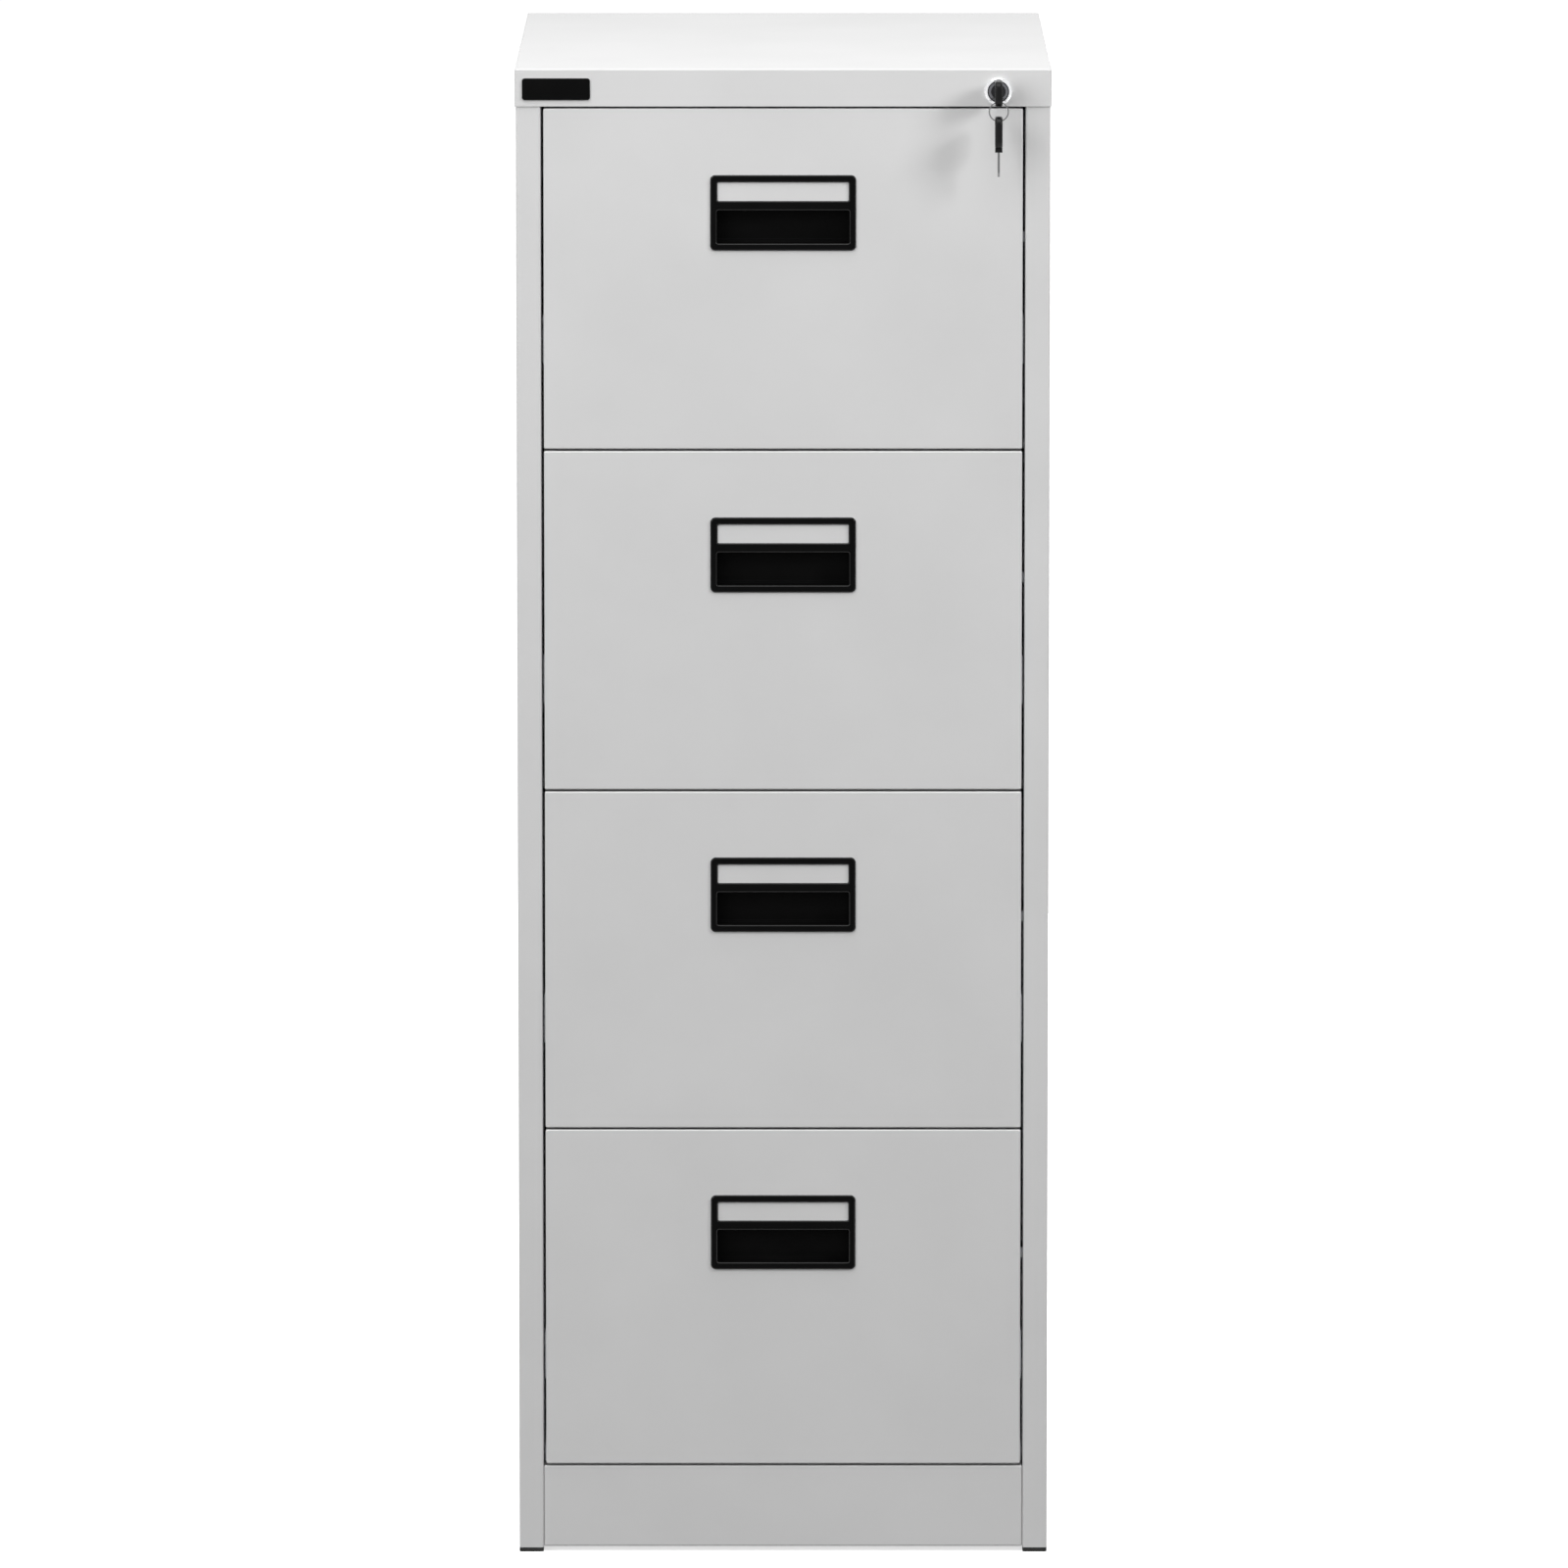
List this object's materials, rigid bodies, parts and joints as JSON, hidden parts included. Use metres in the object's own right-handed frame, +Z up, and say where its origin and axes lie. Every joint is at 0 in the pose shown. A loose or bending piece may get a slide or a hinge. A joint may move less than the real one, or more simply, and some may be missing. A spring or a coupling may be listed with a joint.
{
  "type": "filing cabinet",
  "caption": "Upright grey steel filing cabinet with stacked drawers on telescopic slides, recessed black handles with label windows, and a key lock that lifts a bar to hold the drawers shut.",
  "frame": {"origin": "on the floor, under the middle of the whole object's bounding box, keys included", "axes": "+Z up along the height, +X to the right as seen from the front, -Y out of the drawer fronts"},
  "size_m": [0.47, 0.6608, 1.32],
  "materials": {
    "grey_paint": "light grey powder coat, satin",
    "zinc_steel": "zinc-plated steel",
    "black_plastic": "black moulded plastic",
    "key_plastic": "black moulded key head",
    "lock_chrome": "bright chrome",
    "key_nickel": "nickel-plated",
    "nylon": "natural nylon"
  },
  "bodies": {
    "cabinet": {"side_panel_left": "grey_paint", "side_panel_right": "grey_paint", "back_panel": "grey_paint", "top_cap": "grey_paint", "plinth": "grey_paint", "top_rail": "grey_paint", "rear_rail": "grey_paint", "uprights": "zinc_steel", "foot_caps": "black_plastic", "badge_plate": "black_plastic", "lock_housing": "lock_chrome", "lock_nut": "zinc_steel", "bar_guides": "nylon", "slide_screws": "zinc_steel", "slide_outer_1": "zinc_steel", "slide_outer_2": "zinc_steel", "slide_outer_3": "zinc_steel", "slide_outer_4": "zinc_steel"},
    "drawer_1": {"drawer_front_1": "grey_paint", "drawer_liner_1": "grey_paint", "drawer_tray_1": "grey_paint", "drawer_catch_1": "zinc_steel", "drawer_back_1": "grey_paint", "handle_1": "black_plastic", "slide_inner_1": "zinc_steel"},
    "runner_1": {"slide_mid_1": "zinc_steel"},
    "drawer_2": {"drawer_front_2": "grey_paint", "drawer_liner_2": "grey_paint", "drawer_tray_2": "grey_paint", "drawer_catch_2": "zinc_steel", "drawer_back_2": "grey_paint", "handle_2": "black_plastic", "slide_inner_2": "zinc_steel"},
    "runner_2": {"slide_mid_2": "zinc_steel"},
    "drawer_3": {"drawer_front_3": "grey_paint", "drawer_liner_3": "grey_paint", "drawer_tray_3": "grey_paint", "drawer_catch_3": "zinc_steel", "drawer_back_3": "grey_paint", "handle_3": "black_plastic", "slide_inner_3": "zinc_steel"},
    "runner_3": {"slide_mid_3": "zinc_steel"},
    "drawer_4": {"drawer_front_4": "grey_paint", "drawer_liner_4": "grey_paint", "drawer_tray_4": "grey_paint", "drawer_catch_4": "zinc_steel", "drawer_back_4": "grey_paint", "handle_4": "black_plastic", "slide_inner_4": "zinc_steel"},
    "runner_4": {"slide_mid_4": "zinc_steel"},
    "lock": {"lock_plug": "lock_chrome", "lock_cam": "zinc_steel", "cam_screw": "zinc_steel", "key_blade": "key_nickel", "key_head": "key_plastic"},
    "bar": {"lock_bar": "zinc_steel", "bar_lugs": "zinc_steel"},
    "ring": {"key_ring": "key_nickel"},
    "spare_key": {"spare_key_blade": "key_nickel", "spare_key_head": "key_plastic"}
  },
  "joints": [
    {"name": "drawer_1_slide", "type": "slide", "parent": "cabinet", "child": "drawer_1", "axis": [0, -1, 0], "range_m": [0, 0.56]},
    {"name": "runner_1_slide", "type": "slide", "parent": "cabinet", "child": "runner_1", "axis": [0, -1, 0], "range_m": [0, 0.28]},
    {"name": "drawer_2_slide", "type": "slide", "parent": "cabinet", "child": "drawer_2", "axis": [0, -1, 0], "range_m": [0, 0.56]},
    {"name": "runner_2_slide", "type": "slide", "parent": "cabinet", "child": "runner_2", "axis": [0, -1, 0], "range_m": [0, 0.28]},
    {"name": "drawer_3_slide", "type": "slide", "parent": "cabinet", "child": "drawer_3", "axis": [0, -1, 0], "range_m": [0, 0.56]},
    {"name": "runner_3_slide", "type": "slide", "parent": "cabinet", "child": "runner_3", "axis": [0, -1, 0], "range_m": [0, 0.28]},
    {"name": "drawer_4_slide", "type": "slide", "parent": "cabinet", "child": "drawer_4", "axis": [0, -1, 0], "range_m": [0, 0.56]},
    {"name": "runner_4_slide", "type": "slide", "parent": "cabinet", "child": "runner_4", "axis": [0, -1, 0], "range_m": [0, 0.28]},
    {"name": "lock_turn", "type": "hinge", "parent": "cabinet", "child": "lock", "pos_m": [0.1884, -0.28955, 1.3002], "axis": [0, 1, 0], "range_deg": [0, 90]},
    {"name": "bar_lift", "type": "slide", "parent": "cabinet", "child": "bar", "axis": [0, 0, 1], "range_m": [0, 0.01131]},
    {"name": "ring_swing", "type": "hinge", "parent": "lock", "child": "ring", "pos_m": [0.1884, -0.31945, 1.29316], "axis": [-1, 0, 0], "range_deg": [-15, 105]},
    {"name": "spare_key_slide", "type": "hinge", "parent": "ring", "child": "spare_key", "pos_m": [0.1884, -0.31945, 1.28486], "axis": [0, 1, 0], "range_deg": [-90, 0]}
  ],
  "couplings": [
    {"joint": "runner_1_slide", "follows": "drawer_1_slide", "ratio": 0.5},
    {"joint": "runner_2_slide", "follows": "drawer_2_slide", "ratio": 0.5},
    {"joint": "runner_3_slide", "follows": "drawer_3_slide", "ratio": 0.5},
    {"joint": "runner_4_slide", "follows": "drawer_4_slide", "ratio": 0.5},
    {"joint": "lock_turn", "follows": "bar_lift", "rad_per_m": 138.84},
    {"joint": "spare_key_slide", "follows": "bar_lift", "rad_per_m": -138.84}
  ]
}
